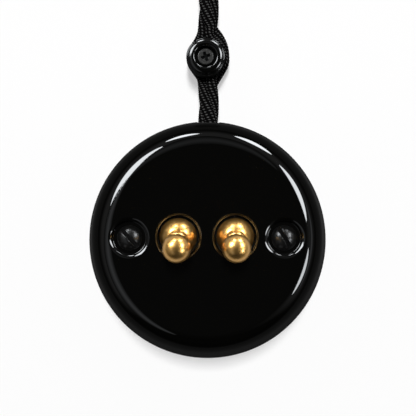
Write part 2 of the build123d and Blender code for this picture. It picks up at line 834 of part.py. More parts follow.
def place_toggle_pieces():
    """The pieces of both toggles, each at rest with its handle tipped down."""
    lever_rest = Rot(half_throw, 0, 0)
    rocker_rest = Rot(-rocker_tilt, 0, 0)
    fixed = {
        "housing": make_housing(),
        "yoke": make_yoke(),
        "pivot_pin": make_pivot_pin(),
        "upper_terminal": make_end_terminal(),
        "lower_terminal": Rot(0, 0, 180) * make_end_terminal(),
    }
    tilting = {
        "handle": make_handle(),
        "lever_core": make_lever_core(),
        "plunger": make_plunger(),
        "spring": make_spring(),
    }
    common, rocker = make_common_terminal(), make_rocker()
    placed = {}
    for side, x in toggles.items():
        foot = Pos(x, lever_rise, 0)
        pivot = Pos(x, lever_rise, pivot_z) * lever_rest
        turned_about = Rot(0, 0, 0 if side == "left" else 180)
        placed |= {f"{name}_{side}": foot * piece for name, piece in fixed.items()}
        placed |= {f"{name}_{side}": pivot * piece for name, piece in tilting.items()}
        placed[f"rocker_{side}"] = Pos(x, lever_rise, rocker_z) * rocker_rest * rocker
        placed[f"common_terminal_{side}"] = foot * turned_about * common
    return placed


def build():
    left_core, front_core, back_core = core_places()
    return place_toggle_pieces() | {
        "cover": make_cover(),
        "cover_screws": make_cover_screws(),
        "cover_posts": make_cover_posts(),
        "base_plate": make_base_plate(),
        "base_screws": make_base_screws(),
        "yoke_screws": make_yoke_screws(),
        "terminal_screws": make_terminal_screws(),
        "cable_saddle": make_cable_saddle(),
        "saddle_screws": make_saddle_screws(),
        "live_lead": make_live_lead(),
        "up_lead": make_up_lead(),
        "down_lead": make_down_lead(),
        "link_wire": make_link_wire(),
        "cable_core_left": make_cable_core(left_core, -1),
        "cable_core_front": make_cable_core(front_core, 1),
        "cable_core_back": make_cable_core(back_core, 1),
        "core_ferrules": make_core_ferrules(),
        "insulator_knob": make_insulator_knob(),
        "insulator_screw": make_insulator_screw(),
    }


if __name__ == "__main__":
    os.makedirs("parts", exist_ok=True)
    on_the_wall = Rot(90, 0, 0)
    for name, piece in build().items():
        export_step(on_the_wall * piece, f"parts/{name}.step")
        print(f"{name}: {piece.volume:.1f} mm3")
    print(f"radii of the cores' arcs, in mm: {core_bends}")
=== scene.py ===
import json
from math import acos, asin, cos, degrees, pi, radians, sin, sqrt, tan

import bmesh
import bpy
import numpy as np
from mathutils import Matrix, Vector


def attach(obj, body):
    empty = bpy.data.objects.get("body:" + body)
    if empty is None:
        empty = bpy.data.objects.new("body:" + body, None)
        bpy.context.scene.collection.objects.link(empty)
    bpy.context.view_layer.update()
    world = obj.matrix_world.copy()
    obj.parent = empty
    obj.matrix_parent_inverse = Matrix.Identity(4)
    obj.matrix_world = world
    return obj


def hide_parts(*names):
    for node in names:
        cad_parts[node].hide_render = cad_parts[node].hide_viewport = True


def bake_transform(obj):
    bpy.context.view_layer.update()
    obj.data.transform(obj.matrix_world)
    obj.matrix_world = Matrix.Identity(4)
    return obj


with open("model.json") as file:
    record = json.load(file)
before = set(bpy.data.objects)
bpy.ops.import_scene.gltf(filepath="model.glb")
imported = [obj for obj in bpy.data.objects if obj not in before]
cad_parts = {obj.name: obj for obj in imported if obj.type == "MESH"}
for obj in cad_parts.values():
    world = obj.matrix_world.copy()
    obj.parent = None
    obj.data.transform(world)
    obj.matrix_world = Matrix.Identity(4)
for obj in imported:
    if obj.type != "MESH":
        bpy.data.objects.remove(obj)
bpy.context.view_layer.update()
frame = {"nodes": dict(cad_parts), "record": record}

mm = 0.001


def onWall(x, y, z):
    # bench millimetres (x right, y up the wall, z out of it) to the frame: (x, -z, y) in metres
    x, y, z = np.broadcast_arrays(np.asarray(x, float), np.asarray(y, float), np.asarray(z, float))
    return np.stack([x, -z, y], -1) * mm


def shares(steps):
    return np.linspace(0, 1, steps)[:, None]


def between(start, end, share):
    return np.array(start) * (1 - share) + np.array(end) * share


def line(start, end, steps):
    # points of a profile on a straight line, both ends included
    return between(start, end, shares(steps))


def arc(centre, radius, first, last, steps=10):
    # points of a profile on a circle, from the first to the last angle in degrees
    angle = np.radians(np.linspace(first, last, steps))
    return np.array(centre) + radius * np.stack([np.cos(angle), np.sin(angle)], -1)


def roundedProfile(points, rounds, steps=12):
    # corners of a profile rounded by tangent arcs, one radius for each inner point (0 leaves it sharp)
    out = [np.array([points[0]])]
    for before, corner, after, radius in zip(points[:-2], points[1:-1], points[2:], rounds):
        before, corner, after = np.array(before), np.array(corner), np.array(after)
        if not radius:
            out.append(corner[None])
            continue
        back, ahead = before - corner, after - corner
        back, ahead = back / np.linalg.norm(back), ahead / np.linalg.norm(ahead)
        half = acos(np.clip(back @ ahead, -1, 1)) / 2
        middle = (back + ahead) / np.linalg.norm(back + ahead)
        centre = corner + middle * radius / sin(half)
        first, last = corner + back * radius / tan(half), corner + ahead * radius / tan(half)
        chord = line(first, last, steps) - centre
        out.append(centre + radius * chord / np.linalg.norm(chord, axis=1, keepdims=True))
    out.append(np.array([points[-1]]))
    return np.concatenate(out)


def arcChain(end, bends, leans, steps=12):
    # rounded arcs that run into one another, down to an end (radius, height): where the surface's normal
    # leans by a, a point of an arc lies at bend * (sin a, cos a) from that arc's centre
    rows = np.zeros((1, 2))
    for bend, first, last in zip(bends, leans[:-1], leans[1:]):
        lean = np.radians(np.linspace(first, last, steps))
        spots = bend * np.stack([np.sin(lean), np.cos(lean)], -1)
        rows = np.concatenate([rows, rows[-1] + spots[1:] - spots[0]])
    return rows + np.array(end) - rows[-1]


def runs(profile):
    # length along a profile, point by point, in its own units
    step = np.linalg.norm(np.diff(profile, axis=0), axis=1)
    return np.concatenate([[0], np.cumsum(step)])


def turned(profile, columns=128):
    # surface of revolution: (radius, height) at angle a is (r cos a, r sin a, h); UV is (turn, length)
    angle = np.linspace(0, 2 * pi, columns + 1)
    radius, height = profile[:, :1], profile[:, 1:]
    uv = np.stack(np.broadcast_arrays(angle / (2 * pi), runs(profile)[:, None]), -1)
    return (radius * np.cos(angle), radius * np.sin(angle), height + 0 * angle), uv


def gridFaces(rows, columns):
    index = np.arange(rows * columns).reshape(rows, columns)
    quads = [index[:-1, :-1], index[:-1, 1:], index[1:, 1:], index[1:, :-1]]
    return np.stack(quads, -1).reshape(-1, 4)


def makePiece(name, patches, sharp=35, weld=2e-6, flats=()):
    # patches are grids of points, some with a grid of UVs; they are welded where their edges meet, and
    # what stays open in the planes of flats (axis, millimetres) is filled
    points, uvs, faces, count = [], [], [], 0
    for patch in patches:
        grid, uv = patch if isinstance(patch, tuple) else (patch, None)
        rows, columns = grid.shape[:2]
        points.append(grid.reshape(-1, 3))
        uvs.append(np.zeros((rows * columns, 2)) if uv is None else uv.reshape(-1, 2))
        faces.append(gridFaces(rows, columns) + count)
        count += rows * columns
    points, uvs, faces = np.concatenate(points), np.concatenate(uvs), np.concatenate(faces)
    mesh = bpy.data.meshes.new(name)
    mesh.from_pydata(points.tolist(), [], faces.tolist())
    layer = mesh.uv_layers.new(name="surface")
    layer.data.foreach_set("uv", uvs[faces.reshape(-1)].astype(np.float32).reshape(-1))
    work = bmesh.new()
    work.from_mesh(mesh)
    bmesh.ops.remove_doubles(work, verts=work.verts, dist=weld)
    bmesh.ops.dissolve_degenerate(work, edges=work.edges, dist=weld / 4)
    for axis, place in flats:
        rims = [
            edge for edge in work.edges
            if edge.is_boundary and max(abs(v.co[axis] - place * mm) for v in edge.verts) < weld
        ]
        bmesh.ops.triangle_fill(work, use_beauty=True, edges=rims)
    bmesh.ops.recalc_face_normals(work, faces=work.faces)
    work.to_mesh(mesh)
    work.free()
    mesh.polygons.foreach_set("use_smooth", np.ones(len(mesh.polygons), bool))
    mesh.set_sharp_from_angle(angle=radians(sharp))
    piece = bpy.data.objects.new(name, mesh)
    bpy.context.scene.collection.objects.link(piece)
    print("piece:", name, len(mesh.polygons), "faces")
    return piece


def cap(ring):
    # a closed ring's points, and its middle as often
    return np.stack([ring, np.broadcast_to(ring[:-1].mean(0), ring.shape)])


def dress(piece, body, slotName, material, *nodes):
    # where a piece rides, which finish it takes and which CAD nodes it stands for
    piece.data.materials.clear()
    piece.data.materials.append(material)
    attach(piece, body)
    if nodes:
        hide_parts(*nodes)
    return piece


class Wire:
    # a socket in a material; arithmetic on it adds Math nodes
    def __init__(self, board, socket):
        self.board, self.socket = board, socket

    def maths(self, operation, *values):
        return self.board.add("ShaderNodeMath", {"operation": operation}, *values)

    def __add__(self, other):
        return self.maths("ADD", self, other)

    def __sub__(self, other):
        return self.maths("SUBTRACT", self, other)

    def __rsub__(self, other):
        return self.maths("SUBTRACT", other, self)

    def __mul__(self, other):
        return self.maths("MULTIPLY", self, other)

    def __truediv__(self, other):
        return self.maths("DIVIDE", self, other)

    __radd__ = __add__
    __rmul__ = __mul__

    def sine(self):
        return self.maths("SINE", self)

    def size(self):
        return self.maths("ABSOLUTE", self)

    def floor(self):
        return self.maths("FLOOR", self)

    def fraction(self):
        return self.maths("FRACT", self)

    def clip(self):
        return self.maths("MINIMUM", self.maths("MAXIMUM", self, 0), 1)


class Board:
    # the node tree of one material or of the world
    def __init__(self, owner):
        owner.use_nodes = True
        self.tree = owner.node_tree
        self.tree.nodes.clear()

    def add(self, kind, settings=None, *inputs, output=0, **named):
        node = self.tree.nodes.new(kind)
        for key, value in (settings or {}).items():
            if key == "stops":
                self.setStops(node.color_ramp, value)
            else:
                setattr(node, key, value)
        pairs = list(enumerate(inputs)) + list(named.items())
        for key, value in pairs:
            socket = node.inputs[key.replace("_", " ") if isinstance(key, str) else key]
            if isinstance(value, Wire):
                self.tree.links.new(value.socket, socket)
            elif value is not None:
                socket.default_value = value
        return Wire(self, node.outputs[output]) if node.outputs else node

    def setStops(self, ramp, stops):
        while len(ramp.elements) < len(stops):
            ramp.elements.new(1)
        for element, (place, colour) in zip(ramp.elements, stops):
            element.position = place
            element.color = (*colour, 1) if isinstance(colour, tuple) else (colour, colour, colour, 1)

    def place(self, kind="Object"):
        return self.add("ShaderNodeTexCoord", None, output=kind)

    def part(self, vector, axis):
        return self.add("ShaderNodeSeparateXYZ", None, vector, output=axis)

    def noise(self, vector, scale, detail=2.0, roughness=0.5):
        return self.add(
            "ShaderNodeTexNoise", None, Vector=vector, Scale=scale, Detail=detail, Roughness=roughness
        )

    def ramp(self, value, *stops):
        return self.add("ShaderNodeValToRGB", {"stops": stops}, value)

    def bump(self, height, strength, distance):
        return self.add("ShaderNodeBump", None, Height=height, Strength=strength, Distance=distance)

    def mix(self, share, first, second, blend="MIX"):
        # of the mix node's sockets, 6 and 7 take the colours and output 2 gives one
        mixed = self.add("ShaderNodeMix", {"data_type": "RGBA", "blend_type": blend}, share, output=2)
        for socket, value in ((6, first), (7, second)):
            target = mixed.socket.node.inputs[socket]
            if isinstance(value, Wire):
                self.tree.links.new(value.socket, target)
            else:
                target.default_value = (*value, 1)
        return mixed

    def principled(self, **named):
        return self.add("ShaderNodeBsdfPrincipled", None, **named)

    def surface(self, **named):
        self.show(self.principled(**named))

    def show(self, shader, kind="ShaderNodeOutputMaterial"):
        self.add(kind, None, shader)


def newBoard(name):
    material = bpy.data.materials.new(name)
    return material, Board(material)


# Finishes

porcelainLook = {
    "colour": (0.0012, 0.0012, 0.0010),
    "coat": 0.35,
    "edge": ((0.27, 0.0), (0.335, 0.94), (0.90, 0.985)),  # the gloss falls off towards the outline
    "edgeRoughness": 0.6,
    "edgeSheen": 0.016,
    "edgeSheenRoughness": 0.5,
    "waveScale": 38.0,
    "wave": 0.018,
    "waveDepth": 0.004,
    "poreScale": 900.0,
    "pores": 0.015,
    "patchScale": 120.0,
    "patchRoughness": 0.02,
}


def blackPorcelain(name, roughness):
    look = porcelainLook
    material, board = newBoard(name)
    place = board.place()
    colour = (*look["colour"], 1)
    wave = board.noise(place, look["waveScale"], 1.0)
    pores = board.noise(place, look["poreScale"], 2.0)
    normal = board.bump(wave + pores * look["pores"], look["wave"], look["waveDepth"])
    rough = board.noise(place, look["patchScale"], 3.0) * look["patchRoughness"] + roughness
    glaze = board.principled(
        Base_Color=colour, Roughness=rough, Normal=normal,
        Coat_Weight=look["coat"], Coat_Roughness=roughness,
    )
    body = board.principled(
        Base_Color=colour, Roughness=look["edgeRoughness"], Sheen_Weight=look["edgeSheen"],
        Sheen_Roughness=look["edgeSheenRoughness"], Specular_IOR_Level=0.0,
    )
    facing = board.add("ShaderNodeLayerWeight", None, Blend=0.5, output=1)
    edge = board.ramp(facing, *look["edge"])
    board.show(board.add("ShaderNodeMixShader", None, edge, glaze, body))
    return material


brassLook = {
    "light": (0.96, 0.555, 0.170),
    "dark": (0.80, 0.43, 0.105),
    "stainScale": 260.0,
    "stainContrast": 1.6,
    "stainOffset": 0.45,
    "roughness": 0.28,
    "lineRoughness": 0.10,
    "coat": 0.6,  # thin lacquer
    "coatRoughness": 0.06,
    "lines": 5200.0,  # turning lines, per metre of profile
    "grainScale": 1800.0,
    "grain": 0.1,
    "bump": 0.3,
    "bumpDepth": 0.00006,
}


def turnedBrass():
    look = brassLook
    material, board = newBoard("turned brass")
    along = board.part(board.place("UV"), "Y") * mm * look["lines"]
    lines = board.noise(board.add("ShaderNodeCombineXYZ", None, 0.0, along, 0.0), 1.0, 4.0, 0.7)
    stain = board.noise(board.place(), look["stainScale"], 3.0)
    fine = board.noise(board.place(), look["grainScale"], 2.0)
    stained = (stain * look["stainContrast"] - look["stainOffset"]).clip()
    colour = board.mix(stained, look["light"], look["dark"])
    rough = lines * look["lineRoughness"] + look["roughness"]
    normal = board.bump(lines + fine * look["grain"], look["bump"], look["bumpDepth"])
    board.surface(
        Base_Color=colour, Metallic=1.0, Roughness=rough, Normal=normal,
        Coat_Weight=look["coat"], Coat_Roughness=look["coatRoughness"],
    )
    return material


screwLook = {
    "patchScale": 700.0,
    "patchContrast": 3.0,
    "patchOffset": 1.75,
    "hollow": 0.6,  # millimetres below the head's top over which painted shade turns it black, in the slot and the cross
    "paintedShadeColour": (0.001, 0.001, 0.001),
    "roughness": 0.22,
    "patchRoughness": 0.16,
    "grainScale": 3500.0,
    "grain": 0.5,
    "bump": 0.12,
    "bumpDepth": 0.00005,
    "specular": 0.6,
}


def blackScrew(name, dark, worn, top):
    # painted shade: black below the head's top, where the slot or the cross is
    look = screwLook
    material, board = newBoard(name)
    place = board.place()
    patch = board.noise(place, look["patchScale"], 4.0, 0.65)
    below = board.part(place, "Y") + top * mm
    colour = board.mix((patch * look["patchContrast"] - look["patchOffset"]).clip(), dark, worn)
    # painted shade: the colour goes black where the surface lies deeper than look["hollow"] below the
    # top, in the slot and the cross
    colour = board.mix((below / (look["hollow"] * mm)).clip(), colour, look["paintedShadeColour"])
    rough = patch * look["patchRoughness"] + look["roughness"]
    grain = board.noise(place, look["grainScale"], 2.0) * look["grain"]
    normal = board.bump(patch + grain, look["bump"], look["bumpDepth"])
    board.surface(Base_Color=colour, Roughness=rough, Normal=normal, Specular_IOR_Level=look["specular"])
    return material


cable = {
    "diameter": 4.0,
    "x": 0.5,
    "z": 10.0,
    "spread": 2.33,  # from the cable's axis to a strand's
    "lay": 48.0,
    "start": 32.94,
    "twistFrom": 47.5,
    "joinLow": 63.5,
    "joinHigh": 88.0,
    "end": 104.0,
    "yarns": 7,  # each way round
    "stitch": 1.15,
    "relief": 0.22,
    "crown": (0.55, 0.45),  # a yarn's height at its edges, and what the other set adds
    "flatten": 1.3,  # strands press each other wider where they are twisted
    "flatFrom": 66.0,
    "flatAgain": 86.0,
    "roundAgain": 100.0,
    "flatFade": 4.0,
    "around": 96,
    "rings": 720,
}

textileLook = {
    # the stitch colour is a painted highlight; the yarn colour is the cable's own black
    "stitch": (0.11, 0.11, 0.108),
    "yarn": (0.003, 0.003, 0.003),
    "threads": 3.0,  # side by side in one yarn
    "threadHeight": 0.6,
    "glintNarrowing": ((2.2, 1.2), (1.6, 0.3)),  # how narrow the painted highlight spots are, both ways
    "fibreScale": 5000.0,
    "fibre": 0.9,
    "plain": 0.4,
    "roughness": 0.6,
    "bump": 0.6,
    "bumpDepth": 0.00008,
}


def textile():
    # braidHeight's braid on the strand's UV; painted highlights: yarns of one way get light spots where
    # they cross over
    look = textileLook
    material, board = newBoard("braided textile")
    uv = board.place("UV")
    turn = board.part(uv, "X") * float(cable["yarns"])
    along = board.part(uv, "Y") / (cable["stitch"] * mm)
    first, second = turn + along, turn - along
    over = ((first.floor() + second.floor()) * 0.5).fraction() * 2.0
    spots = [
        ((way * pi).sine().size() * gain - offset).clip()
        for way, (gain, offset) in zip((first, second), look["glintNarrowing"])
    ]
    thread = (first * (pi * look["threads"])).sine().size()
    fibre = board.noise(board.place(), look["fibreScale"], 3.0, 0.7)
    # painted highlight: light spots on the crowns of one set of yarns
    light = spots[0] * spots[1] * (1 - over) * (fibre * look["fibre"] + look["plain"])
    colour = board.mix(light, look["yarn"], look["stitch"])
    normal = board.bump(thread * look["threadHeight"] + fibre, look["bump"], look["bumpDepth"])
    board.surface(Base_Color=colour, Roughness=look["roughness"], Normal=normal, Specular_IOR_Level=0.0)
    return material


speckLook = {"contrast": 2.0, "offset": 0.5, "roughness": 0.15, "bump": 0.2, "bumpDepth": 0.00005}


def speckled(name, light, dark, roughness, scale, metallic=0.0):
    # a plain finish with a fine two-tone speckle, for what sits behind the cover
    look = speckLook
    material, board = newBoard(name)
    speck = board.noise(board.place(), scale, 4.0, 0.6)
    colour = board.mix((speck * look["contrast"] - look["offset"]).clip(), light, dark)
    rough = speck * look["roughness"] + roughness
    normal = board.bump(speck, look["bump"], look["bumpDepth"])
    board.surface(Base_Color=colour, Metallic=metallic, Roughness=rough, Normal=normal)
    return material


finishes = {
    "black_porcelain": blackPorcelain("black glazed porcelain", 0.03),
    "base_porcelain": speckled("unglazed porcelain", (0.66, 0.63, 0.57), (0.52, 0.49, 0.44), 0.55, 900.0),
    "brass": turnedBrass(),
    "black_screws": blackScrew("black screw", (0.004, 0.004, 0.0038), (0.030, 0.023, 0.017), 34.0),
    "steel": speckled("plated steel", (0.62, 0.62, 0.60), (0.48, 0.48, 0.46), 0.28, 1500.0, 1.0),
    "contact_brass": speckled("stamped brass", (0.78, 0.57, 0.27), (0.62, 0.42, 0.17), 0.3, 900.0, 1.0),
    "moulding": speckled("dark moulding", (0.075, 0.045, 0.028), (0.035, 0.022, 0.016), 0.35, 500.0),
    "lead_insulation": speckled(
        "lead insulation", (0.035, 0.035, 0.035), (0.02, 0.02, 0.02), 0.45, 2000.0
    ),
    "textile": textile(),
}
for part in frame["record"]["subparts"]:
    node = frame["nodes"][part["node"]]
    node.data.materials.clear()
    node.data.materials.append(finishes[part["material_slot"]])
print("finishes:", len(finishes))


# Cables, three braided strands twisted together and parted round the knob

# where each strand goes round the knob: (x, y, z) from below it to above it
partings = {
    "left": (
        (-2.3, 66.8, 10.0), (-4.6, 69.8, 10.0), (-6.6, 72.9, 10.0), (-6.6, 76.6, 10.0),
        (-5.4, 79.4, 10.0), (-3.5, 82.4, 10.0), (-2.2, 85.4, 10.0),
    ),
    "front": (
        (1.9, 66.9, 12.3), (4.2, 70.0, 12.2), (6.9, 73.3, 12.0), (6.9, 76.8, 12.0), (5.2, 79.4, 12.1),
        (1.7, 82.0, 12.3), (0.7, 84.8, 12.4),
    ),
    "back": (
        (3.4, 66.4, 8.0), (5.4, 69.6, 8.0), (7.3, 73.0, 8.0), (7.3, 77.0, 8.0), (6.8, 80.4, 8.0),
        (5.4, 83.6, 7.9), (3.7, 86.2, 7.9),
    ),
}
strandTurns = {"left": 180.0, "front": 60.0, "back": -60.0}  # places in the twist, beside the knob


def twistPoints(turn, first, last, steps):
    # strand centres on a helix about the cable's axis; the spline cuts in a little, so the helix is wider
    height = np.linspace(first, last, steps)
    angle = np.radians(turn + (height - height[0]) * 360 / cable["lay"])
    halfStep = (height[-1] - height[0]) * 180 / cable["lay"] / max(steps - 1, 1)
    wide = cable["spread"] / cos(radians(halfStep))
    return [
        (cable["x"] + wide * cos(a), h, cable["z"] + wide * sin(a)) for a, h in zip(angle, height)
    ]


def strandRoute(side):
    turn = strandTurns[side]
    low = turn - (cable["joinLow"] - cable["twistFrom"]) * 360 / cable["lay"]
    inside = twistPoints(low, cable["twistFrom"], cable["twistFrom"], 1)[0]
    below = twistPoints(low, cable["twistFrom"], cable["joinLow"], 5)
    above = twistPoints(turn, cable["joinHigh"], cable["end"], 5)
    first = (inside[0], cable["start"], inside[2])
    return [first] + below + list(partings[side]) + above


def splineLine(points, name):
    # the smooth line of a route: a NURBS spline with the route's points as its control points
    curve = bpy.data.curves.new(name, "CURVE")
    curve.dimensions = "3D"
    spline = curve.splines.new("NURBS")
    spline.points.add(len(points) - 1)
    placed = onWall(*np.array(points).T)
    spline.points.foreach_set("co", np.concatenate([placed, np.ones((len(points), 1))], 1).reshape(-1))
    spline.order_u = 3
    spline.use_endpoint_u = True
    spline.resolution_u = 24
    carrier = bpy.data.objects.new(name, curve)
    bpy.context.scene.collection.objects.link(carrier)
    bpy.context.view_layer.update()
    flat = bpy.data.meshes.new_from_object(carrier)
    path = np.zeros(len(flat.vertices) * 3)
    flat.vertices.foreach_get("co", path)
    bpy.data.objects.remove(carrier)
    bpy.data.curves.remove(curve)
    bpy.data.meshes.remove(flat)
    return path.reshape(-1, 3)


def braidHeight(turn, length, yarns, pitch):
    # two sets of yarns wind opposite ways and take turns on top: sin of each yarn's own width
    edge, gain = cable["crown"]
    first, second = turn * yarns + length / pitch, turn * yarns - length / pitch
    crown, other = np.abs(np.sin(pi * first)), np.abs(np.sin(pi * second))
    over = (np.floor(first) + np.floor(second)) % 2 < 1
    return np.where(over, crown * (edge + gain * other), other * (edge + gain * crown))


def pressedWider(offset, centre, ahead):
    # an offset from a strand's centre grows along the line square to the strand and to the cable's radius
    size = cable
    axis = np.array([size["x"], -size["z"], 0]) * mm
    outward = (centre - axis) * (1, 1, 0)
    across = np.cross(ahead, outward)
    across /= np.linalg.norm(across, axis=1, keepdims=True)
    height, fade = centre[:, 2] / mm, size["flatFade"]
    low = np.clip((size["flatFrom"] - height) / fade, 0, 1)
    high = np.clip((height - size["flatAgain"]) / fade, 0, 1)
    past = np.clip((size["roundAgain"] - height) / fade + 1, 0, 1)
    more = (size["flatten"] - 1) * (low + high * past)
    part = np.einsum("ijk,ik->ij", offset, across) * more[:, None]
    return offset + part[:, :, None] * across[:, None, :]


def braidedStrand(name, path):
    # tube about the path with the braid's height added to its radius
    length = np.concatenate([[0], np.cumsum(np.linalg.norm(np.diff(path, axis=0), axis=1))])
    along = np.linspace(0, length[-1], cable["rings"])
    centre = np.stack([np.interp(along, length, path[:, k]) for k in range(3)], -1)
    ahead = np.gradient(centre, axis=0)
    ahead /= np.linalg.norm(ahead, axis=1, keepdims=True)
    side = np.array([1.0, 0, 0]) - ahead[:, :1] * ahead
    side /= np.linalg.norm(side, axis=1, keepdims=True)
    front = np.cross(ahead, side)
    turn = np.linspace(0, 1, cable["around"] + 1)
    wound = turn[None, :] + along[:, None] / (cable["lay"] * mm)
    weave = braidHeight(wound, along[:, None], cable["yarns"], cable["stitch"] * mm)
    radius = (cable["diameter"] / 2 - cable["relief"] * (1 - weave)) * mm
    around = np.cos(2 * pi * turn)[None, :, None] * side[:, None, :]
    around = around + np.sin(2 * pi * turn)[None, :, None] * front[:, None, :]
    tube = centre[:, None, :] + pressedWider(radius[:, :, None] * around, centre, ahead)
    uv = np.stack(np.broadcast_arrays(wound, along[:, None]), -1)
    ends = [np.stack([ring, np.broadcast_to(ring.mean(0), ring.shape)]) for ring in (tube[0], tube[-1])]
    return makePiece(name, [(tube, uv), *ends], sharp=80), length[-1]


for side in strandTurns:
    path = splineLine(strandRoute(side), "route_" + side)
    strand, strandLength = braidedStrand("strand_" + side, path)
    dress(strand, "base", "textile", finishes["textile"], "cable_core_" + side)
    print("strand", side, "length", round(strandLength, 4))


ferrule = {
    "collar": 1.9,
    "collarLength": 3.0,
    "sleeve": 1.5,
    "length": 9.0,
    "wall": 0.25,
    "round": 0.2,
    "mouth": 2.0,
}


def ferrules():
    # crimped sleeves on the strands' ends: a collar, a narrower sleeve and a hollow mouth
    size = ferrule
    small, inner = size["round"], size["sleeve"] - size["wall"]
    floor = size["length"] - size["mouth"]
    profile = np.concatenate([
        [(0, 0)],
        arc((size["collar"] - small, small), small, -90, 0, 5),
        arc((size["collar"] - small, size["collarLength"] - small), small, 0, 90, 5),
        [(size["sleeve"], size["collarLength"]), (size["sleeve"], size["length"])],
        [(inner, size["length"]), (inner, floor), (0, floor)],
    ])
    (x, y, h), uv = turned(profile, 48)
    wide = cable["spread"]
    patches = []
    for turn in strandTurns.values():
        cx, cz = cable["x"] + wide * cos(radians(turn)), cable["z"] + wide * sin(radians(turn))
        patches.append((onWall(cx + x, cable["end"] + h, cz + y), uv))
    return makePiece("ferrules", patches)


ferruleSet = dress(ferrules(), "base", "brass", finishes["brass"], "core_ferrules")


# Cover, one glazed porcelain dome

cover = {
    "foot": 50.0,
    "corner": 44.0,  # radius of the sharp corner that the shoulder rounds off
    "height": 37.0,
    "shoulder": 10.0,
    "wall": 5.0,
    "face": 5.0,
    "footRound": 1.2,
    "wellX": 30.0,
    "well": 6.7,
    "wellDepth": 4.0,
    "wellFloor": 5.0,
    "wellWall": 3.2,
    "screwHole": 2.3,
    "bossOverlap": 0.5,
    "lipBends": (0.8, 4.0, 0.4),
    "lipLeans": (0.0, -19.0, -34.0, -90.0),
    "leverX": 11.0,
    "leverY": 0.5,
    "hole": 7.9,
    "holeLip": 1.3,
    "notchX": 0.5,
    "notch": 4.63,
    "notchHeight": 10.0,
    "notchFade": 20.0,  # degrees beside the notch over which the columns lean
    "archSteps": 14,
    "columns": 48,  # per radian
    "patchRadius": 41.5,  # the patches round the holes reach this far
    "cellLines": (-21.0, 0.0, 21.0),  # between neighbouring holes
    "cellSteps": 41,
}
# where a ray from a hole to its cell's edge has points, as shares of its length
rayShares = np.concatenate([[0, 0.002], np.linspace(0.02, 0.62, 9), np.linspace(0.66, 1, 22)])


def domeProfile(foot, corner, height, bend):
    # where face, shoulder and wall meet, for a wall that leans from foot to corner
    lean = np.arctan2(foot - corner, height)
    swing = pi / 2 - lean
    flat = corner - bend * tan(swing / 2)
    slope = tan(lean)
    return {"flat": flat, "height": height, "bend": bend, "swing": swing, "foot": foot, "slope": slope}


outside = domeProfile(cover["foot"], cover["corner"], cover["height"], cover["shoulder"])
inside = domeProfile(
    cover["foot"] - cover["wall"], cover["corner"] - cover["wall"],
    cover["height"] - cover["face"], cover["shoulder"] - cover["wall"],
)


def domeHeight(dome, radius):
    # height of the face and the shoulder over a radius
    past = np.clip(radius - dome["flat"], 0, dome["bend"] * sin(dome["swing"]))
    return dome["height"] - dome["bend"] + np.sqrt(dome["bend"] ** 2 - past**2)


def wallRadius(dome, height):
    return dome["foot"] - height * dome["slope"]


def shoulderRun(dome, turn):
    # the shoulder's points (radius, height) where it has turned by these angles
    bend = dome["bend"]
    return np.stack([dome["flat"] + bend * np.sin(turn), dome["height"] - bend * (1 - np.cos(turn))], -1)


def rimAngles():
    # angles of the cover's columns: corners of the cells and edges of the cable notch are among them
    size = cover
    top = wallRadius(outside, outside["height"] - outside["bend"] * (1 - cos(outside["swing"])))
    corners = [acos(x / size["patchRadius"]) for x in size["cellLines"]]
    notch = [acos((size["notchX"] + s * size["notch"]) / top) for s in (1, -1)]
    marks = sorted(corners + [2 * pi - c for c in corners] + notch)
    marks = [marks[-1] - 2 * pi] + marks
    stretches = []
    for a, b in zip(marks[:-1], marks[1:]):
        if notch[0] <= a < notch[1]:
            # even steps along the notch's arch
            ends = [np.clip((top * cos(mark) - size["notchX"]) / size["notch"], -1, 1) for mark in (a, b)]
            arch = np.cos(np.linspace(acos(ends[0]), acos(ends[1]), size["archSteps"]))
            stretch = np.arccos((size["notchX"] + size["notch"] * arch) / top)
        else:
            stretch = np.linspace(a, b, max(3, int((b - a) * size["columns"])))
        stretches.append(stretch[:-1])
    return np.concatenate(stretches), notch, top


rim, notchEdges, wallTop = rimAngles()
near = 1e-6
isNotch = (rim >= notchEdges[0] - near) & (rim <= notchEdges[1] + near)


def cellEdge(left, right):
    # closed outline of one cell: stretches of the rim and straight lines between neighbouring holes
    radius = cover["patchRadius"]
    points = radius * np.stack([np.cos(rim), np.sin(rim)], -1)
    points = points[(points[:, 0] >= left - near) & (points[:, 0] <= right + near)]
    for x in (left, right):
        if abs(x) < radius:
            reach = sqrt(radius**2 - x**2)
            y = np.linspace(-reach, reach, cover["cellSteps"])[1:-1]
            points = np.concatenate([points, np.stack([np.full(len(y), x), y], -1)])
    return points


def holePatches(cx, cy, lip, edge, bottom):
    # face round one hole: rays from the lip's outer circle to the cell's edge, at the dome's height, then
    # the lip and the hole's wall, which go down from that circle
    angle = np.arctan2(edge[:, 1] - cy, edge[:, 0] - cx)
    edge = edge[np.argsort(angle)]
    edge = np.concatenate([edge, edge[:1]])
    way = edge - (cx, cy)
    way /= np.linalg.norm(way, axis=1, keepdims=True)
    lip = lip - (0, lip[0, 1])
    ring = np.array([cx, cy]) + lip[0, 0] * way
    flat = between(ring, edge, rayShares[:, None, None])
    face = onWall(flat[..., 0], flat[..., 1], domeHeight(outside, np.linalg.norm(flat, axis=-1)))
    x, y = cx + lip[:, :1] * way[:, 0], cy + lip[:, :1] * way[:, 1]
    top = domeHeight(outside, np.linalg.norm(ring, axis=-1)) + lip[:, 1:]
    wall = onWall(x[-1], y[-1], between(top[-1], bottom, shares(6)))
    return [face, onWall(x, y, top), wall], way


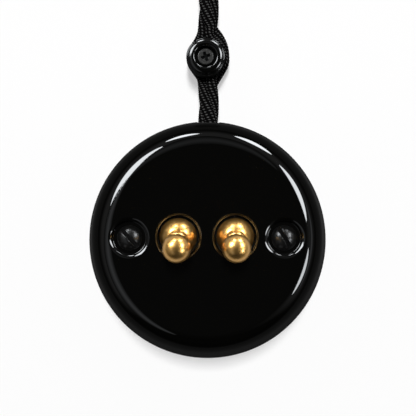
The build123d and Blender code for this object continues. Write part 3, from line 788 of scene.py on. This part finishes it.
def columnAngles(radius):
    # angle of each column at a radius: over the notch columns keep their x, so its edges are straight
    low, high = notchEdges
    kept = np.arccos(np.clip(wallTop * np.cos(rim) / radius, -1, 1))
    shift = {e: acos(wallTop * cos(e) / radius) - e for e in notchEdges}
    fade = radians(cover["notchFade"])
    apart = np.angle(np.exp(1j * (rim - (low + high) / 2)))
    besideLow = np.clip(1 - (low - rim) / fade, 0, 1) * (apart < 0)
    besideHigh = np.clip(1 - (rim - high) / fade, 0, 1) * (apart > 0)
    return np.where(isNotch, kept, rim + besideLow * shift[low] + besideHigh * shift[high])


def ringGrid(profile, pick):
    # a profile (radius, height) carried round the chosen columns
    angles = np.stack([columnAngles(r)[pick] for r, _ in profile])
    radius, height = profile[:, :1], profile[:, 1:]
    return onWall(radius * np.cos(angles), radius * np.sin(angles), height)


def notchArch(x):
    # height of the notch's round top over x
    rise = np.clip(cover["notch"] ** 2 - (x - cover["notchX"]) ** 2, 0, None)
    return cover["notchHeight"] + np.sqrt(rise)


def notchGrid(dome, top, pick):
    # wall over the notch: each column runs straight up from the arch to the wall's top
    x = wallTop * np.cos(rim[pick])
    height = between(notchArch(x), top, shares(8))
    return onWall(x, np.sqrt(wallRadius(dome, height) ** 2 - x**2), height)


def notchLining(pick):
    # the arch's own surface, from the outer wall in to the inner one
    x = wallTop * np.cos(rim[pick])
    z = notchArch(x)
    edges = [np.sqrt(wallRadius(dome, z) ** 2 - x**2) for dome in (outside, inside)]
    return onWall(x, between(*edges, shares(4)), z)


def wallRun(dome, start, end):
    # the wall's rows, which meet the notch's at its arch's foot
    low = cover["notchHeight"]
    arch = (wallRadius(dome, low), low)
    return np.concatenate([line(start, arch, 5)[:-1], line(arch, end, 8)])


def coverPiece():
    size = cover
    lines = [-size["foot"], *size["cellLines"], size["foot"]]
    roof, well = inside["height"], size["height"] - size["wellDepth"]
    wellLip = arcChain((size["well"], 0), size["lipBends"], size["lipLeans"])
    holeLip = arcChain((size["hole"], 0), [size["holeLip"]], (0, -90), 19)
    holes = [
        (-size["wellX"], 0, wellLip, well),
        (-size["leverX"], size["leverY"], holeLip, roof),
        (size["leverX"], size["leverY"], holeLip, roof),
        (size["wellX"], 0, wellLip, well),
    ]
    grids = []
    for (cx, cy, lip, bottom), left, right in zip(holes, lines[:-1], lines[1:]):
        around, way = holePatches(cx, cy, lip, cellEdge(left, right), bottom)
        grids += around
        if bottom == well:
            hole, bore = lip[-1, 0], size["screwHole"]
            floor = np.concatenate([line((hole, well), (bore, well), 8), [(bore, roof)]])
            out, rise = floor[:, :1], floor[:, 1:]
            grids.append(onWall(cx + out * way[:, 0], cy + out * way[:, 1], rise))
            boss = hole + size["wellWall"]
            high, low = roof + size["bossOverlap"], well - size["wellFloor"]
            profile = np.array([(bore, high), (boss, high), (boss, low), (bore, low), (bore, high)])
            (x, y, h), _ = turned(profile, 64)
            grids.append(onWall(cx + x, cy + y, h))
    closed = np.append(np.arange(len(rim)), 0)
    first = asin((size["patchRadius"] - outside["flat"]) / outside["bend"])
    shoulder = shoulderRun(outside, np.linspace(first, outside["swing"], 22))
    radius, height = shoulder[:, :1], shoulder[:, 1:]
    grids.append(onWall(radius * np.cos(rim[closed]), radius * np.sin(rim[closed]), height))
    over = np.flatnonzero(isNotch)
    past = np.concatenate([np.arange(over[-1], len(rim)), np.arange(0, over[0] + 1)])
    # the foot's round: a circle that touches the wall outside and the wall plane below
    lean = np.arctan(outside["slope"])
    small = size["footRound"]
    foot = arc((wallRadius(outside, small) - small / cos(lean), small), small, -90, degrees(lean), 9)
    under = line((inside["foot"], 0), (foot[0][0], 0), 4)
    outer = np.concatenate([under[:-1], foot, wallRun(outside, foot[-1], shoulder[-1])[1:]])
    innerShoulder = shoulderRun(inside, np.linspace(inside["swing"], 0, 10))
    grids += [
        ringGrid(outer, past),
        notchGrid(outside, shoulder[-1][1], over),
        notchLining(over),
        ringGrid(wallRun(inside, under[0], innerShoulder[0]), past),
        ringGrid(innerShoulder, closed),
        notchGrid(inside, innerShoulder[0][1], over),
    ]
    # the inner roof, and the notch's sides under its arch
    flats = [(1, -roof)] + [(0, size["notchX"] + s * size["notch"]) for s in (-1, 1)]
    return makePiece("cover_glaze", grids, sharp=50, flats=flats)


def followDome(piece):
    # exact normals on the dome, for an unbroken gloss: at radius r it leans by asin((r - flat) / bend)
    heightNear, radiusNear = 0.002, 0.001
    points = np.zeros(len(piece.data.vertices) * 3)
    piece.data.vertices.foreach_get("co", points)
    x, z, y = (points.reshape(-1, 3) * (1, -1, 1) / mm).T
    radius = np.hypot(x, y)
    lean = np.clip((radius - outside["flat"]) / outside["bend"], 0, sin(outside["swing"]))
    isDome = (np.abs(z - domeHeight(outside, radius)) < heightNear) & (radius < wallTop + radiusNear)
    around = np.maximum(radius, near)
    normals = np.stack([lean * x / around, -np.sqrt(1 - lean**2), lean * y / around], -1)
    normals[~isDome] = 0
    piece.data.normals_split_custom_set_from_vertices(normals.tolist())
    return piece


dress(followDome(coverPiece()), "base", "black_porcelain", finishes["black_porcelain"], "cover")


# Toggle levers, turned from brass

lever = {
    "x": 11.0,
    "y": 0.5,
    "pivot": 35.0,
    "tilt": 14.0,
    "dome": 7.3,
    "domeWall": 1.4,
    "collar": 4.15,
    "collarTop": 12.3,
    "chamfer": 0.55,
    "chamferDrop": 0.02,
    "corner": 0.05,  # beside each corner a row stands this close, so that its shading stays sharp
    "fillet": 0.25,
    "foot": 0.1,
    "neck": 2.6,
    "ball": 5.4,
    "ballHeight": 19.5,
    "bore": 2.17,  # for the stem
    "boreTop": 12.0,
}


def tipped(x, u, v, h):
    # a point beside a lever's axis and along it, in that lever's place at rest
    lean = radians(lever["tilt"])
    y, z = v * cos(lean) - h * sin(lean), v * sin(lean) + h * cos(lean)
    return onWall(x + u, lever["y"] + y, lever["pivot"] + z)


def leverPiece(name, x):
    # turned profile from the ball's top down to the dome's hollow, tipped about the pivot
    size = lever
    under = -degrees(acos(size["neck"] / size["ball"]))
    start = degrees(asin(sqrt(1 - (size["collar"] / size["dome"]) ** 2)))
    hollow = size["dome"] - size["domeWall"]
    neck, collar, top, fillet = size["neck"], size["collar"], size["collarTop"], size["fillet"]
    corner, edge, side = size["corner"], collar - size["chamfer"], top - size["chamfer"]
    profile = np.concatenate([
        arc((0, size["ballHeight"]), size["ball"], 90, under, 60),
        [(neck, top + fillet)],
        arc((neck + fillet, top + fillet), fillet, 180, 270, 5),
        line((neck + fillet + corner, top), (edge, top), 4),
        line((edge + corner, top - size["chamferDrop"]), (collar, side), 4),
        line((collar, side - corner), (collar, size["dome"] * sin(radians(start)) + size["foot"]), 10),
        arc((0, 0), size["dome"], start, 0, 40),
        [(hollow, 0)],
        arc((0, 0), hollow, 0, degrees(acos(size["bore"] / hollow)), 12),
        [(size["bore"], size["boreTop"]), (0, size["boreTop"])],
    ])
    (u, v, h), uv = turned(profile, 144)
    return makePiece(name, [(tipped(x, u, v, h), uv)], sharp=28)


for side, sign in (("left", -1), ("right", 1)):
    dress(
        leverPiece("lever_brass_" + side, sign * lever["x"]),
        "lever_" + side, "brass", finishes["brass"], "handle_" + side,
    )


# Springs in the levers' tails, each shortened by its plunger

spring = {
    "seat": 4.53,  # below the pivot
    "length": 5.34,
    "wire": 0.44,
    "coil": 1.18,
    "turns": 5.0,
    "rings": 400,
    "around": 16,
}


def coilSpring(name, x):
    # a round wire along a helix: its centre is (c cos a, c sin a, h), its section in the axis's plane
    size = spring
    thick = size["wire"] / 2
    share = shares(size["rings"])
    angle = 2 * pi * size["turns"] * share
    height = -size["seat"] - thick - (size["length"] - size["wire"]) * share
    section = np.linspace(0, 2 * pi, size["around"] + 1)
    out = size["coil"] + thick * np.cos(section)
    rise = thick * np.sin(section)
    grid = tipped(x, out * np.cos(angle), out * np.sin(angle), height + rise)
    return makePiece(name, [grid, cap(grid[0]), cap(grid[-1])], sharp=60)


for side, sign in (("left", -1), ("right", 1)):
    coil = coilSpring("coil_" + side, sign * lever["x"])
    coil.data.materials.append(finishes["steel"])
    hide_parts("spring_" + side)
    top, bottom = (
        tipped(sign * lever["x"], 0, 0, -spring["seat"] - spring["length"] * share) for share in (0, 1)
    )
    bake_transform(coil)


# Cover screws, black with a domed slotted head

coverScrew = {
    "head": 4.95,
    "height": 3.2,
    "side": 0.4,
    "rim": 0.28,
    "slot": 1.5,
    "depth": 2.6,
    "edge": 0.14,
    "shank": 2.0,
    "reach": 14.0,
    "turns": (-48.0, -60.0),
    "slotRows": 5,
    "slotMargins": (0.06, 0.002),  # the slot's last rows, inside its edge
    "domeRows": 28,
    "domeFrom": 2.0,
    "columns": 61,
    "rimFrom": 80.0,
}


def slottedHead(cx, cy, floor, turn):
    # dome over a disc, rows across the slot: height is the dome's, or the slot's floor between its edges
    size = coverScrew
    crown = size["height"] - size["side"]
    bend = (size["head"] ** 2 + crown**2) / (2 * crown)
    reach = size["head"] - size["rim"]
    half, edge = size["slot"] / 2, size["edge"]
    slotFloor = size["height"] - size["depth"]
    lip = np.radians(np.linspace(0, 90, 6))
    spread = np.radians(np.linspace(size["domeFrom"], 90, size["domeRows"]))
    wide, close = size["slotMargins"]
    rows = np.concatenate([
        np.linspace(0, half - wide, size["slotRows"]), [half - close], half + edge * (1 - np.cos(lip)),
        half + edge + (reach - half - edge) * np.sin(spread),
    ])
    inSlot, onDome = np.full(size["slotRows"] + 1, size["height"]), np.zeros(size["domeRows"])
    drop = np.concatenate([inSlot, edge * (1 - np.sin(lip)), onDome])
    v = np.concatenate([-rows[:0:-1], rows])[:, None]
    drop = np.concatenate([drop[:0:-1], drop])[:, None]
    swing = np.radians(np.linspace(-90, 90, size["columns"]))
    u = np.sqrt(np.clip(reach**2 - v**2, 0, None)) * np.sin(swing)
    dome = size["height"] - bend + np.sqrt(bend**2 - u**2 - v**2)
    top = np.maximum(dome - drop, np.minimum(dome, slotFloor))
    rimTop = size["height"] - bend + sqrt(bend**2 - reach**2)
    side = np.arcsin(np.clip(v[:, 0] / reach, -1, 1))
    around = np.concatenate([side, pi - side[-2::-1]])
    rimProfile = np.concatenate([
        [(reach, rimTop)],
        arc((reach, rimTop - size["rim"]), size["rim"], size["rimFrom"], 0, 6),
        [(size["head"], 0), (size["shank"], 0), (size["shank"], -size["reach"]), (0, -size["reach"])],
    ])
    radius, height = rimProfile[:, :1], rimProfile[:, 1:] + 0 * around
    # the rim begins at the dome's edge, and lower where the slot ends
    height[0] = np.concatenate([top[:, -1], top[-2::-1, 0]])
    grids = [(u, v + 0 * u, top), (radius * np.cos(around), radius * np.sin(around), height)]
    c, s = cos(radians(turn)), sin(radians(turn))
    return [onWall(cx + c * x - s * y, cy + s * x + c * y, floor + z) for x, y, z in grids]


wellFloor = cover["height"] - cover["wellDepth"]
screwPatches = [
    patch
    for sign, turn in zip((-1, 1), coverScrew["turns"])
    for patch in slottedHead(sign * cover["wellX"], 0, wellFloor, turn)
]
screwHeads = makePiece("screw_heads", screwPatches, sharp=40)
dress(screwHeads, "base", "black_screws", finishes["black_screws"], "cover_screws")


# Insulator knob and its cross-recess screw

knob = {
    "x": -0.6,
    "y": 73.7,
    "radius": 7.9,
    "foot": 6.2,
    "height": 22.0,
    "neck": 3.8,
    "grooveLow": 5.7,
    "grooveHigh": 14.3,
    "slope": 1.2,
    "edge": 2.0,
    "shoulder": 7.05,
    "shoulderDrop": 1.85,
    "ridge": 5.3,
    "ridgeBends": (0.3, 4.0, 1.2),  # its edge, its outer slope, its top with the inner slope
    "ridgeLeans": (85.0, 32.0, 12.0, -60.0),  # where these begin and end, off the knob's axis
    "recess": 4.25,
    "recessDepth": 3.0,
    "rounds": (0.3, 1.2, 0.5, 0.5, 0.8, 0.55, 0.3),
    "hole": 2.05,
}


def knobPiece():
    size = knob
    floor = size["height"] - size["recessDepth"]
    last = radians(size["ridgeLeans"][-1])
    top = size["ridgeBends"][-1]
    end = (size["ridge"] + top * sin(last), size["height"] - top * (1 - cos(last)))
    ridge = arcChain(end, size["ridgeBends"], size["ridgeLeans"])
    points = [
        (size["hole"], 0),
        (size["foot"], 0),
        (size["foot"], size["grooveLow"] - size["slope"]),
        (size["neck"], size["grooveLow"]),
        (size["neck"], size["grooveHigh"]),
        (size["radius"], size["grooveHigh"] + size["slope"]),
        (size["radius"], size["height"] - size["edge"]),
        (size["shoulder"], size["height"] - size["shoulderDrop"]),
        tuple(ridge[0]),
    ]
    well = [(size["recess"], floor), (size["hole"], floor), (size["hole"], 0)]
    profile = np.concatenate([roundedProfile(points, size["rounds"]), ridge[1:], well])
    (x, y, h), _ = turned(profile, 128)
    return makePiece("knob_glaze", [onWall(size["x"] + x, size["y"] + y, h)])


dullGlaze = blackPorcelain("dull black porcelain", 0.10)
knobGlaze = dress(knobPiece(), "base", "black_porcelain", dullGlaze, "insulator_knob")

knobScrew = {
    "head": 3.3,
    "headHeight": 1.6,
    "headRound": 0.5,
    "shank": 1.75,
    "out": 16.0,
    "point": 3.5,
    "crossWidth": 1.3,
    "crossLength": 4.0,
    "crossDepth": 1.3,
    "taper": 0.5,  # of the cross's half width, the part that its walls slope over
    "turn": 20.0,
    "threadPitch": 1.4,
    "threadDepth": 0.28,
    "runIn": 2.0,
    "blunt": 0.12,  # of the shank's radius, left at the point
    "margin": 0.1,  # of fine rows past the cross
    "rows": (60, 6),
    "columns": 288,
    "threadRows": 260,
    "threadColumns": 48,
}


def knobScrewPiece():
    size = knobScrew
    seat = knob["height"] - knob["recessDepth"]
    top = seat + size["headHeight"]
    # head: a polar grid whose height drops inside the cross, by the distance to the nearer arm
    half, long, bend = size["crossWidth"] / 2, size["crossLength"] / 2, size["headRound"]
    fine, plain = size["rows"]
    flat = long + size["margin"]
    radius = np.concatenate([np.linspace(0, flat, fine), np.linspace(flat, size["head"] - bend, plain)])
    radius = radius[:, None]
    angle = np.linspace(0, 2 * pi, size["columns"] + 1)
    x, y = radius * np.cos(angle), radius * np.sin(angle)
    arms = [np.maximum(np.abs(a) - long, np.abs(b) - half) for a, b in ((x, y), (y, x))]
    away = np.minimum(*arms)
    deep = size["crossDepth"] * np.clip(-away / (half * size["taper"]), 0, 1)
    c, s = cos(radians(size["turn"])), sin(radians(size["turn"]))
    head = onWall(knob["x"] + c * x - s * y, knob["y"] + s * x + c * y, top - deep)
    side = np.concatenate([
        arc((size["head"] - bend, top - bend), bend, 90, 0, 8),
        [(size["head"], seat), (size["shank"], seat), (size["shank"], 0)],
    ])
    (u, v, h), _ = turned(side, size["columns"])
    # the shank's last ring keeps only the thread's columns, so that both are welded
    columns = size["threadColumns"]
    coarse = np.round(angle * columns / (2 * pi)) * 2 * pi / columns
    u[-1], v[-1] = size["shank"] * np.cos(coarse), size["shank"] * np.sin(coarse)
    rimGrid = onWall(knob["x"] + u, knob["y"] + v, h)
    # thread on the length that stands out of the knob's back, down to the point
    turns = np.linspace(0, 1, columns + 1)
    depth = np.linspace(0, size["out"], size["threadRows"])[:, None]
    taper = np.clip((size["out"] - depth) / size["point"], size["blunt"], 1)
    ridge = np.abs(((depth / size["threadPitch"] - turns) % 1) * 2 - 1)
    cut = size["threadDepth"] * ridge * np.clip(depth / size["runIn"], 0, 1)
    across = (size["shank"] - cut) * taper
    u, v = across * np.cos(2 * pi * turns), across * np.sin(2 * pi * turns)
    thread = onWall(knob["x"] + u, knob["y"] + v, -depth)
    return makePiece("knob_screw", [head, rimGrid, thread, cap(thread[-1])], sharp=40)


wornScrew = blackScrew("worn black screw", (0.030, 0.030, 0.029), (0.070, 0.066, 0.060), 20.5)
knobScrewHead = dress(knobScrewPiece(), "base", "black_screws", wornScrew, "insulator_screw")


# Wall behind the switch, lights and camera

wallLook = {"size": 3.0, "behind": 0.0006, "colour": 0.97, "shadow": 0.52, "reflected": 0.45}


def wallStage():
    # a plain wall, seen from the front and in reflections; from behind it lets the view through
    half, back = wallLook["size"] / 2, wallLook["behind"]
    grid = np.array([[(x, back, z) for x in (-half, half)] for z in (-half, half)])
    wall = makePiece("wall", [grid])
    if wall.data.polygons[0].normal.y > 0:
        wall.data.flip_normals()
    material, board = newBoard("plain wall")
    tone = wallLook["colour"]
    glow = board.add("ShaderNodeEmission", None, (1, 1, 1, 1), 1.0)
    paint = board.add("ShaderNodeBsdfDiffuse", None, Color=(tone, tone, tone, 1))
    face = board.add("ShaderNodeMixShader", None, wallLook["shadow"], glow, paint)
    dim = board.add("ShaderNodeEmission", None, (1, 1, 1, 1), wallLook["reflected"])
    clear = board.add("ShaderNodeBsdfTransparent")
    behind = board.add("ShaderNodeNewGeometry", None, output="Backfacing")
    rays = [
        board.add("ShaderNodeLightPath", None, output=name)
        for name in ("Is Camera Ray", "Is Glossy Ray", "Is Transmission Ray")
    ]
    seen = (rays[0] + rays[1] + rays[2]).clip() * (1 - behind)
    face = board.add("ShaderNodeMixShader", None, rays[1], face, dim)
    board.show(board.add("ShaderNodeMixShader", None, seen, clear, face))
    wall.data.materials.append(material)


wallStage()

# softboxes, bent round the view's axis: azimuth and angle off the axis at both ends, half its width,
# brightness and the share of the half width that its edge fades over
softboxes = {
    "upperLeft": (115.5, 52.3, 163.5, 47.8, 12.0, 15.0, 0.2),
    "topLeft": (94.5, 67.9, 113.5, 67.9, 5.4, 17.0, 0.2),
    "topRight": (53.0, 72.8, 75.5, 72.8, 7.6, 16.0, 0.2),
    "right": (10.5, 47.0, 46.5, 57.0, 10.0, 14.0, 0.2),
    "lowRight": (-33.0, 51.6, -4.5, 51.6, 6.8, 10.5, 0.2),
    "topFill": (45.0, 34.0, 140.0, 34.0, 20.0, 0.20, 0.9),
    "farLeft": (138.0, 36.0, 252.0, 48.0, 18.0, 0.46, 0.9),
    "farRight": (-30.0, 66.0, 22.0, 66.0, 8.0, 0.5, 0.9),
}
studio = {
    "target": (0.0, -0.036, 0.0),
    "distance": 1.0,
    "tint": (0.94, 0.97, 1.0),
    "boxTaper": 0.65,
    # greys from the view's side (0) to behind the wall (1)
    "ring": ((0.10, 0.020), (0.20, 0.16), (0.30, 0.16), (0.42, 0.02), (0.55, 0.02), (0.65, 1.0)),
    "low": ((0.16, 0.0), (0.28, 1.0)),
    "floor": ((0.55, 0.03), (0.65, 1.0)),
}


def stageEmitter(name, grid, uv, colour, bright, soft):
    # a glowing card that shows only in reflections; across its width it fades out over the soft share
    card = makePiece(name, [(grid, uv)])
    material, board = newBoard(name)
    fade = ((1 - board.part(board.place("UV"), "Y").size()) / soft).clip()
    board.show(board.add("ShaderNodeEmission", None, board.mix(fade, (0, 0, 0), colour), bright))
    card.data.materials.append(material)
    card.visible_camera = False
    card.visible_diffuse = False
    card.visible_shadow = False


def softbox(name, first, firstOff, last, lastOff, half, bright, soft):
    # crescent on a sphere round the switch: at share s, half * sin(pi s) ** boxTaper to each side
    share = np.linspace(0, 1, 49)
    azimuth = np.radians(between(first, last, share))
    taper = half * np.clip(np.sin(pi * share), 0, None) ** studio["boxTaper"]
    side = np.linspace(-1, 1, 9)[:, None]
    polar = np.radians(between(firstOff, lastOff, share) + side * taper)
    uv = np.stack(np.broadcast_arrays(share, side), -1)
    across, back = np.sin(polar), -np.cos(polar)
    way = np.stack([across * np.cos(azimuth), back, across * np.sin(azimuth)], -1)
    grid = np.array(studio["target"]) + studio["distance"] * way
    stageEmitter(name, grid, uv, studio["tint"], bright, soft)


for name, values in softboxes.items():
    softbox(name, *values)


def aimed(name, kind, place, target):
    holder = bpy.data.objects.new(name, kind)
    bpy.context.scene.collection.objects.link(holder)
    holder.location = place
    holder.rotation_euler = (Vector(target) - Vector(place)).to_track_quat("-Z", "Y").to_euler()
    return holder


# a tall narrow strip a little above the view's axis, so that the soft shadow falls below the switch only
keyLight = {"distance": 3.0, "above": 12.0, "width": 0.3, "height": 0.72, "power": 87.0}


def shadowKey():
    lamp = bpy.data.lights.new("key", "AREA")
    lamp.shape = "RECTANGLE"
    lamp.size, lamp.size_y = keyLight["width"], keyLight["height"]
    lamp.energy = keyLight["power"]
    rise = radians(keyLight["above"])
    place = (0.0, -keyLight["distance"] * cos(rise), keyLight["distance"] * sin(rise))
    aimed("key", lamp, place, (0, 0, 0)).visible_glossy = False


shadowKey()


def studioWorld():
    # dark in front of the face, soft grey at the sides, dark towards the wall's plane, white behind it
    world = bpy.data.worlds.new("studio")
    bpy.context.scene.world = world
    board = Board(world)
    way = board.place("Generated")
    back, up = (board.part(way, axis) * 0.5 + 0.5 for axis in "YZ")
    ring, floor = board.ramp(back, *studio["ring"]), board.ramp(back, *studio["floor"])
    shade = board.mix(board.ramp(up, *studio["low"]), floor, (1, 1, 1))
    level = board.mix(1.0, ring, shade, "MULTIPLY")
    soft = board.add("ShaderNodeBackground", None, level, 1.0)
    white = board.add("ShaderNodeBackground", None, (1, 1, 1, 1), 1.0)
    seen = board.add("ShaderNodeLightPath", None, output="Is Camera Ray")
    board.show(board.add("ShaderNodeMixShader", None, seen, soft, white), "ShaderNodeOutputWorld")


studioWorld()

view = {
    "lens": 83.5,
    "sensor": 36.0,
    "near": 0.01,
    "place": (0.00265, -0.408, -0.006),
    "target": (0.00023, 0.0, 0.0132),
}
lens = bpy.data.cameras.new("view")
lens.lens = view["lens"]
lens.sensor_width = view["sensor"]
lens.clip_start = view["near"]
bpy.context.scene.camera = aimed("view", lens, view["place"], view["target"])
bpy.context.scene.view_settings.view_transform = "Standard"
